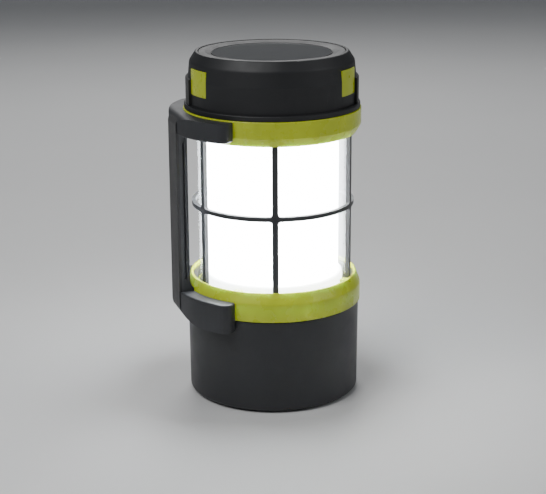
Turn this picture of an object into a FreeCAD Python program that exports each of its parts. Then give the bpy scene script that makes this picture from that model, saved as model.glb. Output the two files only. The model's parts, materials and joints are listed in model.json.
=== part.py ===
import FreeCAD, Part
import math
import os

# Camping lantern. Millimetres, +Z up, origin on the lantern's axis where the foot pad meets the ground.
# The handle stands on the -X side and the power button faces +X.

V = FreeCAD.Vector
AXIS = V(0, 0, 1)
ORIGIN = V(0, 0, 0)

# --- driving dimensions: the outside -------------------------------------------------------------
FOOT_THICK = 1.2
BASE_TOP = 52.4
BASE_R_LOW = 47.4
BASE_R_HIGH = 47.9
LOWER_RING_BOTTOM = 52.7
LOWER_RING_TOP = 68.5
LOWER_RING_R = 48.8
RIM_R = 46.2
FLOOR_Z = 62.0
UPPER_RING_BOTTOM = 148.0
UPPER_RING_TOP = 161.5
UPPER_RING_R = 48.6
LIP_R = 46.0
HEAD_R = 48.0
HEAD_WALL_R = 45.7
TOP_Z = 192.0
TOP_RIM_R = 41.5
SHOULDER_Z = 187.0
SHOULDER_R = 44.8
BEZEL_R = 39.9
DISC_R = 32.6

# --- driving dimensions: cage, lens and diffuser -------------------------------------------------
CAGE_R_IN = 42.6
CAGE_R_OUT = 44.8
CAGE_BORE = 45.0
BAR_WIDTH = 3.2
BAR_ANGLES = (-105.3, -36.0, 37.0, 116.0, 195.5)
HOOP_Z = 108.7
HOOP_HEIGHT = 2.4
FLARE_R = 1.6
LENS_R_OUT = 41.2
LENS_R_IN = 39.4
DIFFUSER_R = 36.4
DIFFUSER_WALL = 1.6
LUG_ANGLES = (-133.0, -43.0, 47.0, 137.0)
LUG_SPAN = 6.0

# --- driving dimensions: three D cells and their compartment -------------------------------------
CELL_R = 17.1
CELL_LENGTH = 61.0
CELL_NUB = 1.5
CELL_NUB_R = 4.75
CELL_CIRCLE = 20.0
CELL_ANGLES = (30.0, 150.0, 270.0)
CELL_FOOT_Z = 6.4
TUB_WALL = 2.0
NECK_R = 45.6
NECK_R_IN = 43.6
NECK_TOP = 57.6
DOME_R = 38.7
DOME_WALL = 1.2
DOME_TOP = 69.3
BAYONET_ANGLES = (0.0, 90.0, 180.0, 270.0)
BAYONET_SPAN = 24.0

# --- driving dimensions: handle, pads and button -------------------------------------------------
GRIP_X_IN = -50.3
GRIP_X_OUT = -56.4
GRIP_WIDTH = 17.5
GRIP_TOP_ROUND = 5.5
GRIP_BOTTOM_ROUND = 8.0
WINDOW_TOP_ROUND = 3.0
WINDOW_BOTTOM_ROUND = 6.5
PAD_THICK = 1.6
GROOVE_X = -53.0
GROOVE_WIDTH = 1.0
GROOVE_DEPTH = 1.2
ARM_REACH = 48.0
ARM_R = 56.5
ARM_TIP_ROUND = 5.0
ARM_EDGE_ROUND = 1.0
ARM_GAP = 0.05
HANDLE_ROOT_X = -20.0
GROOVE_LOW = 70.0
GROOVE_HIGH = 146.0
UPPER_ARM_LOW = 150.5
UPPER_ARM_HIGH = 160.8
LOWER_ARM_LOW = 47.0
LOWER_ARM_HIGH = 62.8
PAD_R = 47.1
PAD_LOW = 164.6
PAD_HIGH = 178.5
PAD_HALF = 32.0
SWITCH_SIDE = 0.0
PLAIN_SIDE = 150.0
PANEL_R = 45.7
PANEL_POCKET_R = 43.8
PANEL_LOW = 170.7
PANEL_HIGH = 184.5
PANEL_HALF = 10.6
PANEL_OFFSET = 42.9
BUTTON_Z = 171.5
BUTTON_R = 5.2
BUTTON_GAP = 0.3
SCREW_R = 1.2
SCREW_HEAD_R = 2.3
HEAD_SCREW_CIRCLE = 40.2
HEAD_SCREW_ANGLES = (45.0, 135.0, 225.0, 315.0)


def outline(points, place):
    """Closed wire through (a, b) or (a, b, corner radius) points; place turns a and b into a vector."""
    corners = []
    count = len(points)
    for i, point in enumerate(points):
        corner = place(point[0], point[1])
        radius = point[2] if len(point) > 2 else 0.0
        if radius == 0.0:
            corners.append((corner, None, corner))
            continue
        before = place(*points[i - 1][:2])
        after = place(*points[(i + 1) % count][:2])
        back = (before - corner).normalize()
        ahead = (after - corner).normalize()
        half = back.getAngle(ahead) / 2.0
        reach = radius / math.tan(half)
        inward = (back + ahead).normalize()
        middle = corner + inward * (radius / math.sin(half) - radius)
        corners.append((corner + back * reach, middle, corner + ahead * reach))
    edges = []
    for i, (arc_start, middle, arc_end) in enumerate(corners):
        if middle is not None:
            edges.append(Part.Arc(arc_start, middle, arc_end).toShape())
        next_start = corners[(i + 1) % count][0]
        if (next_start - arc_end).Length > 1e-6:
            edges.append(Part.makeLine(arc_end, next_start))
    return Part.Wire(edges)


def turned(points, start=0.0, sweep=360.0):
    """An (r, z) outline turned about the lantern's axis, from the angle start."""
    face = Part.Face(outline(points, lambda r, z: V(r, 0, z)))
    face.rotate(ORIGIN, AXIS, start)
    return face.revolve(ORIGIN, AXIS, sweep)


def band(r_in, r_out, z_low, z_high, start=0.0, sweep=360.0):
    """A plain ring, or a piece of one."""
    return turned([(r_in, z_low), (r_out, z_low), (r_out, z_high), (r_in, z_high)], start, sweep)


def rod(radius, z_low, z_high, x=0.0, y=0.0):
    """An upright cylinder."""
    return Part.makeCylinder(radius, z_high - z_low, V(x, y, z_low), AXIS)


def rod_x(radius, x_low, x_high, z):
    """A cylinder along X through (y, z) = (0, z)."""
    return Part.makeCylinder(radius, x_high - x_low, V(x_low, 0, z), V(1, 0, 0))


def block(x_low, x_high, y_low, y_high, z_low, z_high):
    return Part.makeBox(x_high - x_low, y_high - y_low, z_high - z_low, V(x_low, y_low, z_low))


def swung(shape, angle):
    """A copy turned about the lantern's axis."""
    copy = shape.copy()
    copy.rotate(ORIGIN, AXIS, angle)
    return copy


def around(shape, angles):
    return [swung(shape, angle) for angle in angles]


def joined(shapes):
    return shapes[0].multiFuse(shapes[1:]).removeSplitter()


def arc_pad(r_in, r_out, z_low, z_high, centre, half_span, corner):
    """A curved plate with rounded corners, cut from a ring by a rounded outline when it is narrow."""
    plate = band(r_in, r_out, z_low, z_high, centre - half_span, 2 * half_span)
    radial = [edge for edge in plate.Edges
              if abs(edge.Length - (r_out - r_in)) < 0.01 and len(edge.Vertexes) == 2]
    return plate.makeFillet(corner, radial)


# --- battery base --------------------------------------------------------------------------------

def base_shell():
    """The battery tub: closed below, with a neck that enters the lower ring and four inward lugs."""
    shell = turned([(0, FOOT_THICK), (BASE_R_LOW, FOOT_THICK, 2.0), (BASE_R_HIGH, BASE_TOP, 0.4),
                    (NECK_R, BASE_TOP), (NECK_R, 54.6), (NECK_R - 1.0, 54.6), (NECK_R - 1.0, 56.4),
                    (NECK_R, 56.4), (NECK_R, NECK_TOP), (NECK_R_IN, NECK_TOP),
                    (NECK_R_IN, FOOT_THICK + TUB_WALL, 2.0), (0, FOOT_THICK + TUB_WALL)])
    lug = band(40.0, NECK_R_IN + 0.5, 54.7, 57.0, -BAYONET_SPAN / 2, BAYONET_SPAN)
    return joined([shell] + around(lug, BAYONET_ANGLES))


def base_seal():
    """O-ring in the neck's groove."""
    return Part.makeTorus(NECK_R - 0.15, 0.85, V(0, 0, 55.5), AXIS)


def foot_pad():
    """Rubber disc under the tub, with a ground contact face that reaches the axis."""
    return turned([(0, 0), (42.6, 0, 0.5), (42.6, FOOT_THICK), (0, FOOT_THICK)])


def cell_places():
    for angle in CELL_ANGLES:
        yield (CELL_CIRCLE * math.cos(math.radians(angle)), CELL_CIRCLE * math.sin(math.radians(angle)))


def cell_cradle():
    """Three sleeves on a rim, open towards the axis, that stand in the tub and hold the cells."""
    low = 8.0
    high = 46.0
    rim = band(NECK_R_IN - 2.2, NECK_R_IN - 0.1, low, low + 5.0)
    sleeves = [rod(CELL_R + 1.5, low, high, x, y) for x, y in cell_places()]
    ribs = [block(34.0, NECK_R_IN - 1.0, -0.9, 0.9, low, high - 8) for angle in CELL_ANGLES]
    ribs = [swung(rib, angle) for rib, angle in zip(ribs, CELL_ANGLES)]
    pockets = [rod(CELL_R + 0.35, low - 1, high + 1, x, y) for x, y in cell_places()]
    pockets.append(rod(10.5, low - 1, high + 1))
    return joined([rim] + sleeves + ribs).cut(joined(pockets))


def battery_cells():
    """Three upright D cells: a can with a crimped shoulder and a raised terminal."""
    cells = []
    top = CELL_FOOT_Z + CELL_LENGTH
    for x, y in cell_places():
        can = turned([(0, CELL_FOOT_Z), (CELL_R - 1.0, CELL_FOOT_Z, 0.4), (CELL_R, CELL_FOOT_Z + 1.0),
                      (CELL_R, top - CELL_NUB - 1.6, 0.8), (CELL_R - 2.0, top - CELL_NUB, 0.4),
                      (CELL_NUB_R, top - CELL_NUB), (CELL_NUB_R, top, 0.5), (0, top)])
        can.translate(V(x, y, 0))
        cells.append(can)
    return Part.makeCompound(cells)


def base_contacts():
    """Three sprung-contact discs on the tub's floor, joined by a star of strip."""
    low = FOOT_THICK + TUB_WALL
    high = low + 0.4
    pieces = [rod(6.0, low, high)]
    for angle, (x, y) in zip(CELL_ANGLES, cell_places()):
        pieces.append(rod(12.0, low, high, x, y))
        pieces.append(swung(block(0, CELL_CIRCLE, -2.5, 2.5, low, high), angle))
    return joined(pieces)


def contact_springs():
    """A four-legged leaf spring under each cell, bent up from the contact plate."""
    low = FOOT_THICK + TUB_WALL + 0.4
    sheet = 0.4
    side_view = [(-9.0, low), (-7.8, low), (-3.0, CELL_FOOT_Z - sheet), (3.0, CELL_FOOT_Z - sheet),
                 (7.8, low), (9.0, low), (3.2, CELL_FOOT_Z, 1.0), (-3.2, CELL_FOOT_Z, 1.0)]
    strip_half = 2.0
    face = Part.Face(outline(side_view, lambda x, z: V(x, -strip_half, z)))
    strip = face.extrude(V(0, 2 * strip_half, 0))
    leaf = joined([strip, swung(strip, 90.0)])
    springs = []
    for x, y in cell_places():
        spring = leaf.copy()
        spring.translate(V(x, y, 0))
        springs.append(spring)
    return Part.makeCompound(springs)


# --- the lantern's lower ring and cell dome ------------------------------------------------------

def lower_ring():
    """Translucent collar: flared skirt, upright rim, floor, and four lugs that hold the cage's foot."""
    ring = turned([(DOME_R + 0.1, 60.0), (46.6, 60.0), (46.6, LOWER_RING_BOTTOM),
                   (LOWER_RING_R, LOWER_RING_BOTTOM, 0.5), (LOWER_RING_R, 62.5, 3.0),
                   (RIM_R, LOWER_RING_TOP, 0.5), (CAGE_BORE, LOWER_RING_TOP, 0.3), (CAGE_BORE, FLOOR_Z),
                   (DOME_R + 0.1, FLOOR_Z)])
    lug = band(LENS_R_OUT + 0.5, CAGE_BORE + 0.4, 66.5, 68.1, -LUG_SPAN / 2, LUG_SPAN)
    ring = joined([ring] + around(lug, LUG_ANGLES))
    holes = around(rod(SCREW_R, 59.0, 61.4, 42.4), HEAD_SCREW_ANGLES)
    return ring.cut(Part.makeCompound(holes))


def countersink(z_low, x):
    """The space of a countersunk head whose flat side is at z_low."""
    return Part.makeCone(SCREW_HEAD_R, SCREW_R, 1.1, V(x, 0, z_low), AXIS)


def screw_up(z_low, z_high, x):
    """A countersunk screw standing head down, with a cross slot."""
    screw = countersink(z_low, x).fuse(rod(SCREW_R, z_low + 1.0, z_high, x))
    slots = [block(x - 1.5, x + 1.5, -0.25, 0.25, z_low - 1, z_low + 0.6),
             block(x - 0.25, x + 0.25, -1.5, 1.5, z_low - 1, z_low + 0.6)]
    return screw.cut(Part.makeCompound(slots))


def cell_dome():
    """White cup over the cells' tops, with a screw flange and four outward bayonet lugs."""
    inner = DOME_R - DOME_WALL
    ceiling = 67.8
    cup = turned([(3.0, DOME_TOP), (3.0, ceiling), (inner, ceiling, 0.8), (inner, 50.0), (DOME_R, 50.0),
                  (DOME_R, 58.0), (45.5, 58.0), (45.5, 60.0), (DOME_R, 60.0), (DOME_R, DOME_TOP, 1.5)])
    lug = band(DOME_R - 0.5, 42.0, 52.0, 54.4, -BAYONET_SPAN / 2, BAYONET_SPAN)
    dome = joined([cup] + around(lug, BAYONET_ANGLES))
    bored = countersink(58.0, 42.4).fuse(rod(SCREW_R, 57.5, 60.5, 42.4))
    return dome.cut(Part.makeCompound(around(bored, HEAD_SCREW_ANGLES)))


def dome_contacts():
    """Three contact discs under the dome's ceiling on one star-shaped plate."""
    low = CELL_FOOT_Z + CELL_LENGTH
    high = 67.8
    pieces = [band(3.2, 6.0, low, high)]
    for angle, (x, y) in zip(CELL_ANGLES, cell_places()):
        pieces.append(rod(6.0, low, high, x, y))
        pieces.append(swung(block(4.0, CELL_CIRCLE, -2.0, 2.0, low, high), angle))
    return joined(pieces)


def dome_screws():
    return Part.makeCompound(around(screw_up(58.0, 61.4, 42.4), HEAD_SCREW_ANGLES))


# --- lens, diffuser and light source -------------------------------------------------------------

def lens_gaskets():
    """One flat seal under the lens tube and one above it."""
    return Part.makeCompound([band(LENS_R_IN, LENS_R_OUT, FLOOR_Z, 63.0),
                              band(LENS_R_IN, LENS_R_OUT, 153.5, 154.5)])


def lens_tube():
    return turned([(LENS_R_IN, 63.0), (LENS_R_OUT, 63.0), (LENS_R_OUT, 153.5), (LENS_R_IN, 153.5)])


def diffuser():
    return turned([(DIFFUSER_R - DIFFUSER_WALL, DOME_TOP), (DIFFUSER_R, DOME_TOP),
                   (DIFFUSER_R, 153.0), (DIFFUSER_R - DIFFUSER_WALL, 153.0)])


def reflector(z_low, z_high):
    """White plate across the end of the diffuser, dished towards the light."""
    return turned([(3.5, z_low), (DIFFUSER_R - DIFFUSER_WALL, z_low),
                   (DIFFUSER_R - DIFFUSER_WALL, z_high), (3.5, z_high)])


COLUMN_LOW = DOME_TOP + 1.2
COLUMN_HIGH = 151.8
COLUMN_FLAT = 8.0
SIDES = 6


def led_column():
    """Six-sided aluminium heat sink with a bore for the leads."""
    corner_r = COLUMN_FLAT / math.cos(math.pi / SIDES)
    turns = [math.radians(30 + 60 * i) for i in range(SIDES)]
    ring = [V(corner_r * math.cos(t), corner_r * math.sin(t), COLUMN_LOW) for t in turns]
    prism = Part.Face(Part.makePolygon(ring + ring[:1])).extrude(V(0, 0, COLUMN_HIGH - COLUMN_LOW))
    return prism.cut(rod(3.5, COLUMN_LOW - 1, COLUMN_HIGH + 1))


def led_strips():
    strip = block(COLUMN_FLAT, COLUMN_FLAT + 1.2, -3.5, 3.5, COLUMN_LOW + 2, COLUMN_HIGH - 2)
    return Part.makeCompound(around(strip, [60 * i for i in range(SIDES)]))


def led_chips():
    chips = []
    face_x = COLUMN_FLAT + 1.2
    rows = 5
    pitch = (COLUMN_HIGH - COLUMN_LOW - 20.0) / (rows - 1)
    for row in range(rows):
        z = COLUMN_LOW + 10.0 + row * pitch
        chips += around(block(face_x, face_x + 0.8, -1.5, 1.5, z - 1.5, z + 1.5),
                        [60 * i for i in range(SIDES)])
    return Part.makeCompound(chips)


def lead_wires():
    """Two leads from the dome's contacts up the column's bore to the driver board."""
    return Part.makeCompound([rod(0.8, 67.8, 160.0, x) for x in (-1.3, 1.3)])


# --- cage ----------------------------------------------------------------------------------------

def flare(side, z_edge, z_way):
    """The concave corner between a bar and a hoop, seen along X: a square less a quarter circle."""
    y_edge = side * BAR_WIDTH / 2
    overlap = 0.2
    y_far = y_edge + side * FLARE_R
    z_far = z_edge + z_way * FLARE_R
    ys = sorted((y_edge - side * overlap, y_far))
    zs = sorted((z_edge - z_way * overlap, z_far))
    square = block(CAGE_R_IN - 4, CAGE_R_OUT + 3, ys[0], ys[1], zs[0], zs[1])
    scoop = Part.makeCylinder(FLARE_R, CAGE_R_OUT - CAGE_R_IN + 9,
                              V(CAGE_R_IN - 5, y_far, z_far), V(1, 0, 0))
    return square.cut(scoop)


def cage():
    """Five bars, a hoop at mid height and a ring at each end, all on one cylinder."""
    foot_high = 66.4
    head_low = 150.0
    rings = [band(CAGE_R_IN, CAGE_R_OUT, FLOOR_Z, foot_high),
             band(CAGE_R_IN, CAGE_R_OUT, HOOP_Z - HOOP_HEIGHT / 2, HOOP_Z + HOOP_HEIGHT / 2),
             band(CAGE_R_IN, CAGE_R_OUT, head_low, 154.5)]
    bar = block(CAGE_R_IN - 4, CAGE_R_OUT + 3, -BAR_WIDTH / 2, BAR_WIDTH / 2, foot_high - 1, head_low + 1)
    corners = [(foot_high, 1), (HOOP_Z - HOOP_HEIGHT / 2, -1), (HOOP_Z + HOOP_HEIGHT / 2, 1), (head_low, -1)]
    flares = [flare(side, z, way) for side in (-1, 1) for z, way in corners]
    sleeve = band(CAGE_R_IN, CAGE_R_OUT, foot_high - 1, head_low + 1)
    bar = joined([bar] + flares).common(sleeve)
    return joined(rings + around(bar, BAR_ANGLES))


# --- head ----------------------------------------------------------------------------------------

def upper_ring():
    """Translucent collar: a bright band above, chamfered in to a lip below."""
    return turned([(CAGE_BORE, UPPER_RING_BOTTOM), (LIP_R, UPPER_RING_BOTTOM, 0.4),
                   (UPPER_RING_R, 152.7, 0.8), (UPPER_RING_R, UPPER_RING_TOP, 0.4),
                   (CAGE_BORE, UPPER_RING_TOP)])


BOARD_R = 33.0
BOARD_LOW = 160.0
BOARD_HIGH = 161.6
FRAME_LOW = 154.5
FRAME_HIGH = 157.5


def head_frame():
    """Inner plate that closes the lamp chamber and carries the driver board on posts."""
    plate = band(3.5, CAGE_BORE - 0.1, FRAME_LOW, FRAME_HIGH)
    posts = around(rod(3.0, FRAME_HIGH - 0.5, BOARD_LOW, 27.0), (60.0, 180.0, 300.0))
    bored = countersink(FRAME_LOW, HEAD_SCREW_CIRCLE)
    bored = bored.fuse(rod(SCREW_R, FRAME_LOW - 1, FRAME_HIGH + 1, HEAD_SCREW_CIRCLE))
    return joined([plate] + posts).cut(Part.makeCompound(around(bored, HEAD_SCREW_ANGLES)))


def head_screws():
    return Part.makeCompound(around(screw_up(FRAME_LOW, 169.0, HEAD_SCREW_CIRCLE), HEAD_SCREW_ANGLES))


def driver_board():
    return band(2.5, BOARD_R, BOARD_LOW, BOARD_HIGH)


def driver_parts():
    """Inductor, capacitors and the driver chip on the board."""
    inductor = rod(6.0, BOARD_HIGH, BOARD_HIGH + 7.0, -14.0, 10.0)
    capacitors = [rod(4.0, BOARD_HIGH, BOARD_HIGH + 12.0, x, -16.0) for x in (-10.0, 2.0)]
    chip = block(-4.0, 4.0, 6.0, 12.0, BOARD_HIGH, BOARD_HIGH + 1.6)
    return Part.makeCompound([inductor, chip] + capacitors)


def switch_board():
    """Small upright board that backs the power switch."""
    return block(30.4, 32.0, -8.0, 8.0, BOARD_HIGH, 180.0)


def power_switch():
    """Tactile switch with its plunger facing the button."""
    body = block(32.0, 35.5, -3.1, 3.1, BUTTON_Z - 3.1, BUTTON_Z + 3.1)
    return joined([body, rod_x(1.7, 35.0, 36.7, BUTTON_Z)])


def panel_centres(side):
    """A lime panel stands on each side of a rubber pad."""
    return (side - PANEL_OFFSET, side + PANEL_OFFSET)


def head_shell():
    """The dark cap: foot flange, upright wall, tapered shoulder, ledge for the bezel, four posts."""
    shell = turned([(42.6, UPPER_RING_TOP), (HEAD_R, UPPER_RING_TOP, 0.4), (HEAD_R, 164.4, 0.6),
                    (HEAD_WALL_R, 164.4), (HEAD_WALL_R, PAD_HIGH), (SHOULDER_R, SHOULDER_Z, 3.0),
                    (TOP_RIM_R, TOP_Z, 1.0), (BEZEL_R + 0.1, TOP_Z, 0.3), (BEZEL_R + 0.1, 188.5),
                    (37.0, 188.5), (37.0, 185.2), (40.6, 185.2), (42.6, 183.2)])
    post = rod(3.2, FRAME_HIGH, 188.4, HEAD_SCREW_CIRCLE)
    shell = joined([shell] + around(post, HEAD_SCREW_ANGLES))
    cuts = around(rod(SCREW_R, FRAME_HIGH - 1, 169.0, HEAD_SCREW_CIRCLE), HEAD_SCREW_ANGLES)
    for centre in panel_centres(SWITCH_SIDE) + panel_centres(PLAIN_SIDE):
        cuts.append(band(PANEL_POCKET_R, HEAD_R, PANEL_LOW, PANEL_HIGH, centre - PANEL_HALF, 2 * PANEL_HALF))
    cuts.append(rod_x(BUTTON_R + BUTTON_GAP, 38.0, 50.0, BUTTON_Z))
    return shell.cut(Part.makeCompound(cuts))


def head_pad(side):
    """Raised rubber pad that follows the head's wall."""
    return turned([(HEAD_WALL_R, PAD_LOW), (PAD_R, PAD_LOW, 0.5), (PAD_R, PAD_HIGH, 0.9),
                   (HEAD_WALL_R, PAD_HIGH)], side - PAD_HALF, 2 * PAD_HALF)


def switch_pad():
    return head_pad(SWITCH_SIDE).cut(rod_x(BUTTON_R + BUTTON_GAP, 38.0, 50.0, BUTTON_Z))


def head_panels(side):
    """The pair of curved lime inserts beside one pad."""
    return Part.makeCompound([arc_pad(PANEL_POCKET_R, PANEL_R, PANEL_LOW, PANEL_HIGH, centre, PANEL_HALF, 0.8)
                              for centre in panel_centres(side)])


def power_button():
    """Round key with a domed face, a keeper flange inside the wall and a stem for the switch."""
    profile = [(38.5, 0), (38.5, 1.5), (40.4, 1.5), (40.4, BUTTON_R + 1.2), (41.6, BUTTON_R + 1.2),
               (41.6, BUTTON_R), (47.9, BUTTON_R, 0.9), (48.2, 0)]
    face = Part.Face(outline(profile, lambda x, y: V(x, y, BUTTON_Z)))
    return face.revolve(V(0, 0, BUTTON_Z), V(1, 0, 0), 360.0)


def top_bezel():
    """Ring round the top disc, bevelled down to it."""
    return turned([(DISC_R + 0.2, 188.5), (BEZEL_R, 188.5), (BEZEL_R, 191.7, 0.5), (36.2, 191.7, 0.4),
                   (DISC_R + 0.2, 190.6)])


def top_disc():
    """Glossy plate in the bezel, held by a flange underneath."""
    return turned([(0, 187.0), (36.6, 187.0), (36.6, 188.4), (DISC_R, 188.4), (DISC_R, 190.9, 0.4),
                   (0, 191.1)])


# --- handle --------------------------------------------------------------------------------------

def arm(z_low, z_high, ring_r, rounded_z):
    """A thick curved band against one ring, with rounded tips and one outer edge rounded, at rounded_z."""
    wrap = band(ring_r, ARM_R, z_low, z_high, 180.0 - ARM_REACH, 2 * ARM_REACH)
    tips = []
    for edge in wrap.Edges:
        radii = [math.hypot(vertex.X, vertex.Y) for vertex in edge.Vertexes]
        if abs(edge.Length - (z_high - z_low)) < 0.01 and abs(min(radii) - ARM_R) < 0.01:
            tips.append(edge)
    wrap = wrap.makeFillet(ARM_TIP_ROUND, tips)
    rim = []
    for edge in wrap.Edges:
        box = edge.BoundBox
        middle = edge.valueAt((edge.FirstParameter + edge.LastParameter) / 2)
        level = abs(box.ZMin - rounded_z) < 0.01 and abs(box.ZMax - rounded_z) < 0.01
        if level and math.hypot(middle.x, middle.y) > ARM_R - 0.01:
            rim.append(edge)
    return wrap.makeFillet(ARM_EDGE_ROUND, rim)


def grip_outline():
    """The handle's outer outline in the XZ plane, open towards the lantern's axis."""
    return [(HANDLE_ROOT_X, LOWER_ARM_LOW), (GRIP_X_OUT, LOWER_ARM_LOW, GRIP_BOTTOM_ROUND),
            (GRIP_X_OUT, UPPER_ARM_HIGH, GRIP_TOP_ROUND), (HANDLE_ROOT_X, UPPER_ARM_HIGH)]


def upright_slab(points, half):
    """An XZ outline made half thick to each side of the handle's middle plane."""
    return Part.Face(outline(points, lambda x, z: V(x, -half, z))).extrude(V(0, 2 * half, 0))


def handle_frame():
    """Upright grip joined at both ends to thick curved arms that wrap the two rings."""
    half = GRIP_WIDTH / 2
    window = [(HANDLE_ROOT_X, UPPER_ARM_LOW), (GRIP_X_IN, UPPER_ARM_LOW, WINDOW_TOP_ROUND),
              (GRIP_X_IN, LOWER_ARM_HIGH, WINDOW_BOTTOM_ROUND), (HANDLE_ROOT_X, LOWER_ARM_HIGH)]
    bow = upright_slab(grip_outline() + window, half)
    bow = bow.cut(rod(UPPER_RING_R + ARM_GAP, 100.0, 170.0))
    bow = bow.cut(rod(LOWER_RING_R + ARM_GAP, 40.0, 100.0))
    trim = 1.0
    arms = [arm(UPPER_ARM_LOW, UPPER_ARM_HIGH + trim, UPPER_RING_R + ARM_GAP, UPPER_ARM_LOW),
            arm(LOWER_ARM_LOW - trim, LOWER_ARM_HIGH, LOWER_RING_R + ARM_GAP, LOWER_ARM_HIGH)]
    envelope = upright_slab(grip_outline(), 60.0)
    frame = joined([bow] + [piece.common(envelope) for piece in arms])
    frame = frame.cut(block(-70.0, GRIP_X_OUT + PAD_THICK, -half, half, 40.0, 170.0))
    for side in (-1, 1):
        ys = sorted((side * (half + 1), side * (half - GROOVE_DEPTH)))
        frame = frame.cut(block(GROOVE_X, GROOVE_X + GROOVE_WIDTH, ys[0], ys[1], GROOVE_LOW, GROOVE_HIGH))
    return frame


def handle_pad():
    """Rubber face of the grip, rounded off at its top and bottom."""
    half = GRIP_WIDTH / 2
    pad = upright_slab(grip_outline(), half)
    return pad.cut(block(GRIP_X_OUT + PAD_THICK, 0.0, -half - 1, half + 1, 40.0, 170.0))


NODES = {
    "base_shell": base_shell, "base_seal": base_seal, "foot_pad": foot_pad,
    "cell_cradle": cell_cradle, "battery_cells": battery_cells, "base_contacts": base_contacts,
    "contact_springs": contact_springs,
    "lower_ring": lower_ring, "cell_dome": cell_dome, "dome_contacts": dome_contacts,
    "dome_screws": dome_screws,
    "lens_gaskets": lens_gaskets, "lens_tube": lens_tube, "diffuser": diffuser,
    "lower_reflector": lambda: reflector(DOME_TOP, COLUMN_LOW),
    "upper_reflector": lambda: reflector(COLUMN_HIGH, 153.0),
    "led_column": led_column, "led_strips": led_strips, "led_chips": led_chips,
    "lead_wires": lead_wires, "cage": cage, "upper_ring": upper_ring,
    "head_frame": head_frame, "head_screws": head_screws, "driver_board": driver_board,
    "driver_parts": driver_parts, "switch_board": switch_board, "power_switch": power_switch,
    "head_shell": head_shell,
    "switch_pad": switch_pad, "plain_pad": lambda: head_pad(PLAIN_SIDE),
    "switch_panels": lambda: head_panels(SWITCH_SIDE), "plain_panels": lambda: head_panels(PLAIN_SIDE),
    "power_button": power_button,
    "top_bezel": top_bezel, "top_disc": top_disc,
    "handle_frame": handle_frame, "handle_pad": handle_pad,
}

os.makedirs("parts", exist_ok=True)
for name, make in NODES.items():
    shape = make()
    print(name, "valid" if shape.isValid() else "NOT VALID", len(shape.Solids), round(shape.Volume))
    shape.exportStep("parts/" + name + ".step")
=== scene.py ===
import json
import math

import bpy
from mathutils import Matrix, Vector


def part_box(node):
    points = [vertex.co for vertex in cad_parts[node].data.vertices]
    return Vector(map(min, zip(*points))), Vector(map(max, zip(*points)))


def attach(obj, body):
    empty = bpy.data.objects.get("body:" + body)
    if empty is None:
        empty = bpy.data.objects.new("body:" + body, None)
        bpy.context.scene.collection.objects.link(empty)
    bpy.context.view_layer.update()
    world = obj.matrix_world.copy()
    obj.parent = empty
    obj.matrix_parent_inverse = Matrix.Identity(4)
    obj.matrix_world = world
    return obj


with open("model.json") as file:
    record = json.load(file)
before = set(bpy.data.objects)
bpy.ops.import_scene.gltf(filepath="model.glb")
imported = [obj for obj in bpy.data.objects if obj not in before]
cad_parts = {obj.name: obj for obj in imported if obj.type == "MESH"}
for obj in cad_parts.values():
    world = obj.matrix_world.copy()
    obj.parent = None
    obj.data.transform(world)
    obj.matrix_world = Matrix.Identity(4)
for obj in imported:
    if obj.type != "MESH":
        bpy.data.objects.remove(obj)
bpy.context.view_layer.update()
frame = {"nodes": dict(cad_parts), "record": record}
NODES = frame["nodes"]
MM = 0.001

# --- shader helpers ------------------------------------------------------------------------------


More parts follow.
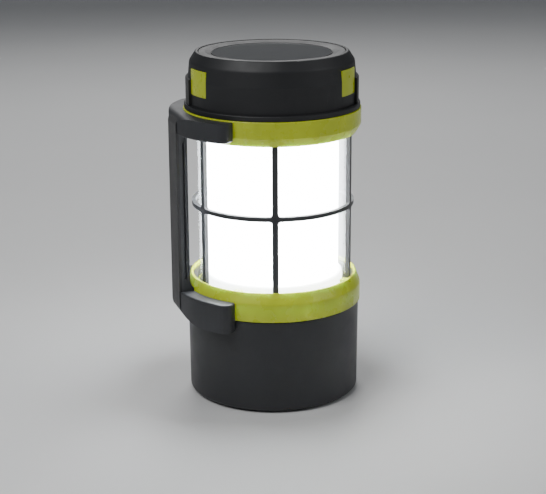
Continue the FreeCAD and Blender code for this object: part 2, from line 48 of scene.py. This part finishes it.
class Shader:
    """A node material under construction: a Principled shader and the nodes that feed it."""

    def __init__(self, name):
        self.material = bpy.data.materials.new(name)
        self.material.use_nodes = True
        self.tree = self.material.node_tree
        self.bsdf = self.tree.nodes["Principled BSDF"]
        self.coordinates = self.tree.nodes.new("ShaderNodeTexCoord")

    def set(self, **values):
        """Uniform values, by socket name with underscores for spaces."""
        for key, value in values.items():
            self.bsdf.inputs[key.replace("_", " ")].default_value = value
        return self

    def link(self, source, target):
        self.tree.links.new(source, target)

    def noise(self, scale, detail=3.0, roughness=0.55, stretch=(1, 1, 1)):
        """Noise over the object's own coordinates; scale is in features per metre."""
        mapping = self.tree.nodes.new("ShaderNodeMapping")
        mapping.inputs["Scale"].default_value = stretch
        self.link(self.coordinates.outputs["Object"], mapping.inputs["Vector"])
        node = self.tree.nodes.new("ShaderNodeTexNoise")
        node.inputs["Scale"].default_value = scale
        node.inputs["Detail"].default_value = detail
        node.inputs["Roughness"].default_value = roughness
        self.link(mapping.outputs["Vector"], node.inputs["Vector"])
        return node.outputs["Fac"]

    def ramp(self, fac, stops):
        """Colour ramp from (position, colour) stops."""
        node = self.tree.nodes.new("ShaderNodeValToRGB")
        elements = node.color_ramp.elements
        while len(elements) < len(stops):
            elements.new(0.5)
        for element, (position, colour) in zip(elements, stops):
            element.position = position
            element.color = (*colour, 1.0)
        self.link(fac, node.inputs["Fac"])
        return node.outputs["Color"]

    def spread(self, fac, low, high):
        """Maps a 0..1 value to low..high."""
        node = self.tree.nodes.new("ShaderNodeMapRange")
        node.inputs["From Min"].default_value = 0.3
        node.inputs["From Max"].default_value = 0.7
        node.inputs["To Min"].default_value = low
        node.inputs["To Max"].default_value = high
        self.link(fac, node.inputs["Value"])
        return node.outputs["Result"]

    def mix(self, fac, first, second):
        node = self.tree.nodes.new("ShaderNodeMix")
        node.data_type = "RGBA"
        self.link(fac, node.inputs["Factor"])
        for socket, value in ((node.inputs["A"], first), (node.inputs["B"], second)):
            if isinstance(value, tuple):
                socket.default_value = (*value, 1.0)
            else:
                self.link(value, socket)
        return node.outputs["Result"]

    def bump(self, height, strength, distance):
        node = self.tree.nodes.new("ShaderNodeBump")
        node.inputs["Strength"].default_value = strength
        node.inputs["Distance"].default_value = distance
        self.link(height, node.inputs["Height"])
        self.link(node.outputs["Normal"], self.bsdf.inputs["Normal"])
        return self

    def edges(self):
        """1 on convex edges, 0 on flats."""
        geometry = self.tree.nodes.new("ShaderNodeNewGeometry")
        node = self.tree.nodes.new("ShaderNodeMapRange")
        node.inputs["From Min"].default_value = 0.52
        node.inputs["From Max"].default_value = 0.62
        self.link(geometry.outputs["Pointiness"], node.inputs["Value"])
        return node.outputs["Result"]


def shade(colour, factor):
    return tuple(min(1.0, c * factor) for c in colour)


def moulded(name, colour, roughness, grain_depth=0.00004, coat=0.0, wear=1.6):
    """Injection-moulded plastic: spark-eroded grain, faint tone drift, edges rubbed a little lighter."""
    s = Shader(name)
    drift = s.ramp(s.noise(18.0, 4.0), [(0.3, shade(colour, 0.82)), (0.7, shade(colour, 1.18))])
    s.link(s.mix(s.edges(), drift, shade(colour, wear)), s.bsdf.inputs["Base Color"])
    s.link(s.spread(s.noise(70.0, 5.0), roughness - 0.05, roughness + 0.07), s.bsdf.inputs["Roughness"])
    s.bump(s.noise(2600.0, 2.0), 0.35, grain_depth)
    s.set(Coat_Weight=coat, Coat_Roughness=0.25)
    return s.material


def rubber(name, colour):
    """Matte elastomer: fine skin, dusty high spots, a soft sheen."""
    s = Shader(name)
    dust = s.ramp(s.noise(45.0, 6.0), [(0.42, colour), (0.8, shade(colour, 2.1))])
    s.link(dust, s.bsdf.inputs["Base Color"])
    s.link(s.spread(s.noise(120.0, 4.0), 0.66, 0.82), s.bsdf.inputs["Roughness"])
    s.bump(s.noise(3600.0, 2.0), 0.45, 0.00005)
    s.set(Specular_IOR_Level=0.35, Sheen_Weight=0.12, Sheen_Roughness=0.5)
    return s.material


def lime(name, glow):
    """Translucent yellow-green plastic with some subsurface scattering; its emission is a painted glow
    that stands in for the lamp's light carried in its thickness.
    """
    s = Shader(name)
    deep = (0.34, 0.40, 0.010)
    bright = (0.52, 0.60, 0.024)
    s.link(s.ramp(s.noise(26.0, 3.0), [(0.3, deep), (0.7, bright)]), s.bsdf.inputs["Base Color"])
    s.link(s.spread(s.noise(90.0, 4.0), 0.22, 0.34), s.bsdf.inputs["Roughness"])
    s.bump(s.noise(1400.0, 2.0), 0.15, 0.00003)
    # Emission_Strength=glow is a painted glow: the lime plastic is no lamp, and its faint lime emission
    # stands in for lamp light passing through the wall.
    s.set(Subsurface_Weight=0.35, Subsurface_Radius=(0.004, 0.005, 0.001), Subsurface_Scale=1.0,
          Emission_Color=(0.68, 0.82, 0.03, 1.0), Emission_Strength=glow)
    return s.material


def lamp(name, glow_strength):
    """Frosted diffuser lit from inside: a cool white with soft vertical bands in front of each strip."""
    s = Shader(name)
    cool = (0.90, 0.95, 1.0)
    warm = (1.0, 1.0, 0.98)
    glow = s.ramp(s.noise(14.0, 2.0, stretch=(1, 1, 0.15)), [(0.25, cool), (0.75, warm)])
    s.link(glow, s.bsdf.inputs["Base Color"])
    s.link(glow, s.bsdf.inputs["Emission Color"])
    s.bump(s.noise(1800.0, 2.0), 0.1, 0.00003)
    s.set(Roughness=0.5, Emission_Strength=glow_strength)
    return s.material


def clear_plastic(name):
    """Thin clear wall: mostly see-through, with a gloss that grows towards its limb."""
    s = Shader(name)
    s.link(s.spread(s.noise(60.0, 4.0), 0.03, 0.09), s.bsdf.inputs["Roughness"])
    s.bump(s.noise(220.0, 2.0), 0.03, 0.0001)
    s.set(Base_Color=(0.93, 0.96, 0.98, 1.0), Alpha=0.14, IOR=1.49, Specular_IOR_Level=0.6)
    return s.material


def polished(name, colour):
    """Polished dark plate with faint rubbing marks in its gloss."""
    s = Shader(name)
    s.link(s.ramp(s.noise(12.0, 2.0), [(0.3, shade(colour, 0.9)), (0.7, shade(colour, 1.12))]),
           s.bsdf.inputs["Base Color"])
    s.link(s.spread(s.noise(160.0, 6.0, stretch=(1, 4, 1)), 0.10, 0.17), s.bsdf.inputs["Roughness"])
    s.bump(s.noise(30.0, 2.0), 0.03, 0.0002)
    s.set(Coat_Weight=0.6, Coat_Roughness=0.08)
    return s.material


def metal(name, colour, roughness):
    """Drawn or stamped metal with a directional grain."""
    s = Shader(name)
    grain = s.noise(900.0, 4.0, stretch=(1, 1, 0.05))
    s.link(s.ramp(grain, [(0.3, shade(colour, 0.85)), (0.7, shade(colour, 1.1))]),
           s.bsdf.inputs["Base Color"])
    s.link(s.spread(grain, roughness - 0.06, roughness + 0.08), s.bsdf.inputs["Roughness"])
    s.bump(grain, 0.12, 0.00003)
    s.set(Metallic=1.0)
    return s.material


MATERIALS = {
    "charcoal_plastic": moulded("charcoal_plastic", (0.019, 0.020, 0.023), 0.48),
    "black_cap": moulded("black_cap", (0.010, 0.0105, 0.012), 0.52),
    "cage_plastic": moulded("cage_plastic", (0.019, 0.020, 0.022), 0.44),
    "component_dark": moulded("component_dark", (0.03, 0.03, 0.032), 0.5),
    "board_green": moulded("board_green", (0.02, 0.13, 0.05), 0.35),
    "board_white": moulded("board_white", (0.78, 0.79, 0.80), 0.4, wear=1.0),
    "white_plastic": moulded("white_plastic", (0.80, 0.80, 0.78), 0.38, wear=1.0),
    "lead_red": moulded("lead_red", (0.45, 0.03, 0.03), 0.45),
    "cell_wrap": moulded("cell_wrap", (0.14, 0.15, 0.17), 0.3, grain_depth=0.00001, coat=0.3),
    "led_yellow": moulded("led_yellow", (0.85, 0.62, 0.16), 0.3, wear=1.0),
    "black_rubber": rubber("black_rubber", (0.011, 0.011, 0.012)),
    "seal_rubber": rubber("seal_rubber", (0.022, 0.022, 0.022)),
    # 0.04 is the strength of the painted glow given to the lime plastic.
    "lime_plastic": lime("lime_plastic", 0.04),
    "diffuser_white": lamp("diffuser_white", 26.0),
    "clear_lens": clear_plastic("clear_lens"),
    "gloss_disc": polished("gloss_disc", (0.014, 0.015, 0.017)),
    "aluminium": metal("aluminium", (0.78, 0.79, 0.80), 0.32),
    "brass": metal("brass", (0.80, 0.58, 0.24), 0.28),
    "spring_steel": metal("spring_steel", (0.62, 0.62, 0.63), 0.25),
    "screw_steel": metal("screw_steel", (0.55, 0.56, 0.58), 0.33),
}

for part in frame["record"]["subparts"]:
    node = NODES[part["node"]]
    node.data.materials.clear()
    node.data.materials.append(MATERIALS[part["material_slot"]])

NODES["cell_dome"].data.materials[0] = lamp("cell_dome_glow", 6.0)

# --- small finishing pieces ----------------------------------------------------------------------


def bead(name, body, slot, centre, radius, thickness, facing_x=False):
    """A fine raised ring, round the lantern's axis or round a line along X."""
    around = 128
    section = 12
    verts = []
    for i in range(around):
        a = 2 * math.pi * i / around
        for k in range(section):
            b = 2 * math.pi * k / section
            reach = radius + thickness * math.cos(b)
            rise = thickness * math.sin(b)
            point = Vector((reach * math.cos(a), reach * math.sin(a), rise))
            if facing_x:
                point = Vector((point.z, point.x, point.y))
            verts.append((point + Vector(centre)) * MM)
    faces = []
    for i in range(around):
        j = (i + 1) % around
        for k in range(section):
            m = (k + 1) % section
            faces.append((i * section + k, j * section + k, j * section + m, i * section + m))
    mesh = bpy.data.meshes.new(name)
    mesh.from_pydata(verts, [], faces)
    mesh.polygons.foreach_set("use_smooth", [True] * len(mesh.polygons))
    piece = bpy.data.objects.new(name, mesh)
    bpy.context.scene.collection.objects.link(piece)
    mesh.materials.append(MATERIALS[slot])
    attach(piece, body)


DISC_EDGE_R = 32.7
BEAD_THICK = 0.3
MARK_R = 2.8
MARK_THICK = 0.2
MARK_SINK = 0.15
disc_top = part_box("top_disc")[1].z / MM
button_low, button_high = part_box("power_button")
button_z = (button_low.z + button_high.z) / 2 / MM
bead("bezel_bead", "lantern", "black_cap", (0, 0, disc_top - BEAD_THICK),
     DISC_EDGE_R, BEAD_THICK)
bead("button_mark", "button", "black_rubber", (button_high.x / MM - MARK_SINK, 0, button_z),
     MARK_R, MARK_THICK, facing_x=True)

# --- floor, light and camera ---------------------------------------------------------------------


def make_floor():
    """A pale sweep: flat in front, curving up far behind."""
    width = 6.0
    front = -2.5
    bend_y = 2.0
    bend_r = 1.2
    profile = [(front, 0.0), (bend_y, 0.0)]
    steps = 16
    for i in range(1, steps + 1):
        angle = math.pi / 2 * i / steps
        profile.append((bend_y + bend_r * math.sin(angle), bend_r * (1 - math.cos(angle))))
    profile.append((bend_y + bend_r, 4.0))
    mesh = bpy.data.meshes.new("floor")
    verts = [(x, y, z) for y, z in profile for x in (-width, width)]
    faces = [(2 * i, 2 * i + 1, 2 * i + 3, 2 * i + 2) for i in range(len(profile) - 1)]
    mesh.from_pydata(verts, [], faces)
    mesh.polygons.foreach_set("use_smooth", [True] * len(mesh.polygons))
    floor = bpy.data.objects.new("floor", mesh)
    bpy.context.scene.collection.objects.link(floor)
    s = Shader("floor_pale")
    s.link(s.ramp(s.noise(3.0, 3.0), [(0.3, (0.60, 0.60, 0.60)), (0.7, (0.63, 0.63, 0.625))]),
           s.bsdf.inputs["Base Color"])
    s.set(Roughness=0.6)
    mesh.materials.append(s.material)
    floor.rotation_euler = (0, 0, math.radians(VIEW_AZIMUTH))


def area_light(name, azimuth, elevation, distance, size, power):
    """A soft square light that faces the lantern's middle."""
    target = Vector((0, 0, 0.1))
    a = math.radians(azimuth)
    e = math.radians(elevation)
    away = Vector((math.sin(a) * math.cos(e), -math.cos(a) * math.cos(e), math.sin(e)))
    data = bpy.data.lights.new(name, "AREA")
    data.shape = "SQUARE"
    data.size = size
    data.energy = power
    light = bpy.data.objects.new(name, data)
    light.location = target + away * distance
    light.rotation_euler = (-away).to_track_quat("-Z", "Y").to_euler()
    bpy.context.scene.collection.objects.link(light)


# Degrees, metres above the floor, and millimetres for the lens.
VIEW_AZIMUTH = -17.0
VIEW_PITCH = 16.13
VIEW_ROLL = -0.33
VIEW_DISTANCE = 0.800
VIEW_HEIGHT = 0.3124
VIEW_LENS = 97.97


def make_camera():
    a = math.radians(VIEW_AZIMUTH)
    data = bpy.data.cameras.new("camera")
    data.lens = VIEW_LENS
    data.sensor_width = 36.0
    camera = bpy.data.objects.new("camera", data)
    place = Matrix.Translation((math.sin(a) * VIEW_DISTANCE, -math.cos(a) * VIEW_DISTANCE, VIEW_HEIGHT))
    heading = Matrix.Rotation(a, 4, "Z")
    tilt = Matrix.Rotation(math.radians(90.0 - VIEW_PITCH), 4, "X")
    roll = Matrix.Rotation(math.radians(VIEW_ROLL), 4, "Z")
    camera.matrix_world = place @ heading @ tilt @ roll
    bpy.context.scene.collection.objects.link(camera)
    bpy.context.scene.camera = camera


def make_world():
    world = bpy.data.worlds.new("studio")
    world.use_nodes = True
    background = world.node_tree.nodes["Background"]
    background.inputs["Color"].default_value = (0.80, 0.84, 0.90, 1.0)
    background.inputs["Strength"].default_value = 0.20
    bpy.context.scene.world = world


make_floor()
make_world()
make_camera()
area_light("key", -60.0, 50.0, 1.2, 0.7, 9.0)
area_light("fill", 55.0, 30.0, 1.4, 0.9, 3.6)
area_light("rim", 165.0, 40.0, 1.3, 0.6, 7.0)
